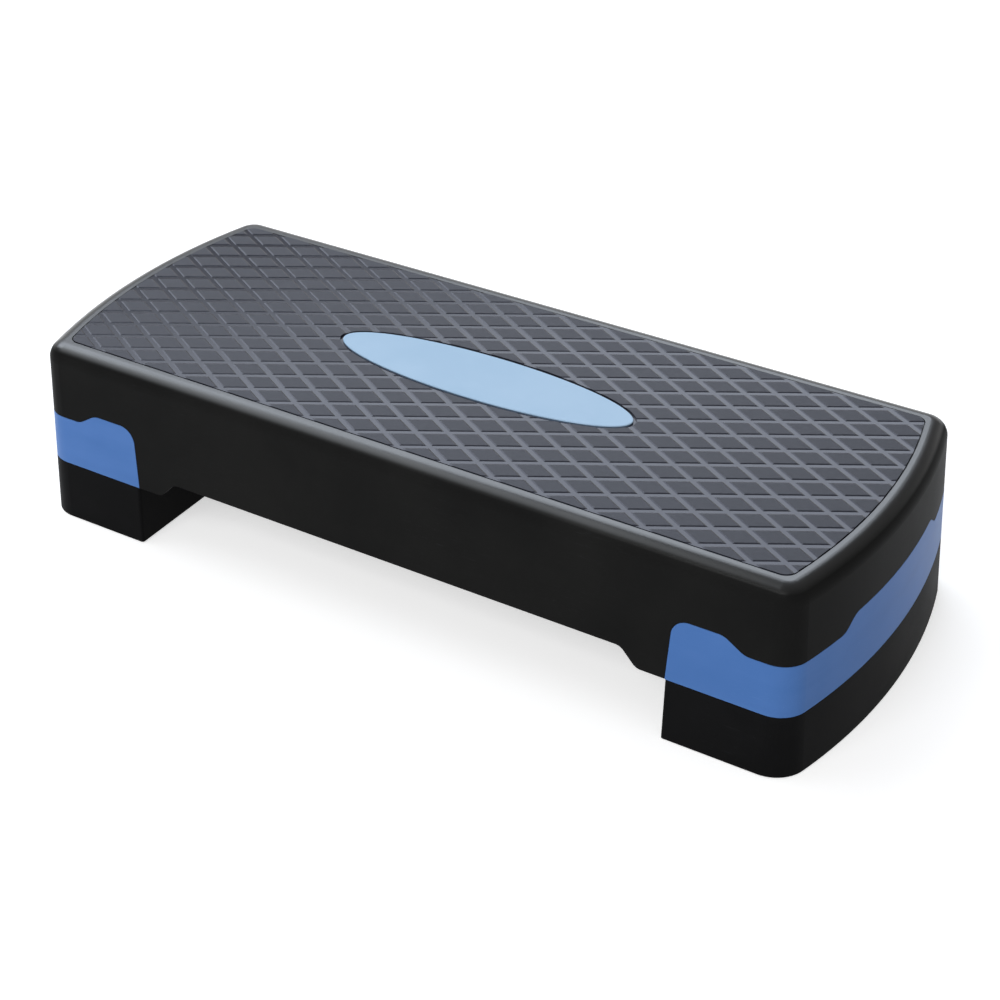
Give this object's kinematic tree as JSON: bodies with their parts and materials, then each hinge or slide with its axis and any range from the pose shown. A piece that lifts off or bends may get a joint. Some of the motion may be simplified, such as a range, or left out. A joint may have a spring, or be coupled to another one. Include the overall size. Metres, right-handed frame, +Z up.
{
  "type": "aerobic step platform",
  "caption": "Low exercise step: long hollow deck with a diamond tread and an oval inlay, a coloured band under each end, and a plug-on riser foot under each band.",
  "frame": {"origin": "on the floor, under the middle of the step", "axes": "+X along the length of the step, +Y across its width, +Z up"},
  "size_m": [0.6838, 0.2788, 0.1488],
  "materials": {
    "deck_black": "fine-grained black polypropylene, satin",
    "tread_black": "black elastomer, matte diamond pads over a smoother sheet",
    "inlay_blue": "pale blue plastic, satin gloss",
    "band_blue": "mid blue polypropylene, satin gloss",
    "foot_black": "black polypropylene, satin",
    "pad_rubber": "matte black rubber",
    "screw_steel": "zinc-plated steel"
  },
  "bodies": {
    "deck": {"deck_shell": "deck_black", "tread_mat": "tread_black", "oval_inlay": "inlay_blue", "end_band_left": "band_blue", "end_band_right": "band_blue", "band_screws_left": "screw_steel", "band_screws_right": "screw_steel", "band_pad_left_front_inner": "pad_rubber", "band_pad_left_front_outer": "pad_rubber", "band_pad_left_back_inner": "pad_rubber", "band_pad_left_back_outer": "pad_rubber", "band_pad_right_front_inner": "pad_rubber", "band_pad_right_front_outer": "pad_rubber", "band_pad_right_back_inner": "pad_rubber", "band_pad_right_back_outer": "pad_rubber"},
    "left_riser": {"riser_foot_left": "foot_black", "foot_pad_left_front_inner": "pad_rubber", "foot_pad_left_front_outer": "pad_rubber", "foot_pad_left_back_inner": "pad_rubber", "foot_pad_left_back_outer": "pad_rubber"},
    "right_riser": {"riser_foot_right": "foot_black", "foot_pad_right_front_inner": "pad_rubber", "foot_pad_right_front_outer": "pad_rubber", "foot_pad_right_back_inner": "pad_rubber", "foot_pad_right_back_outer": "pad_rubber"}
  },
  "joints": [
    {"name": "left_riser_pull", "type": "slide", "parent": "deck", "child": "left_riser", "axis": [0, 0, -1], "range_m": [0, 0.03]},
    {"name": "right_riser_pull", "type": "slide", "parent": "deck", "child": "right_riser", "axis": [0, 0, -1], "range_m": [0, 0.03]}
  ]
}
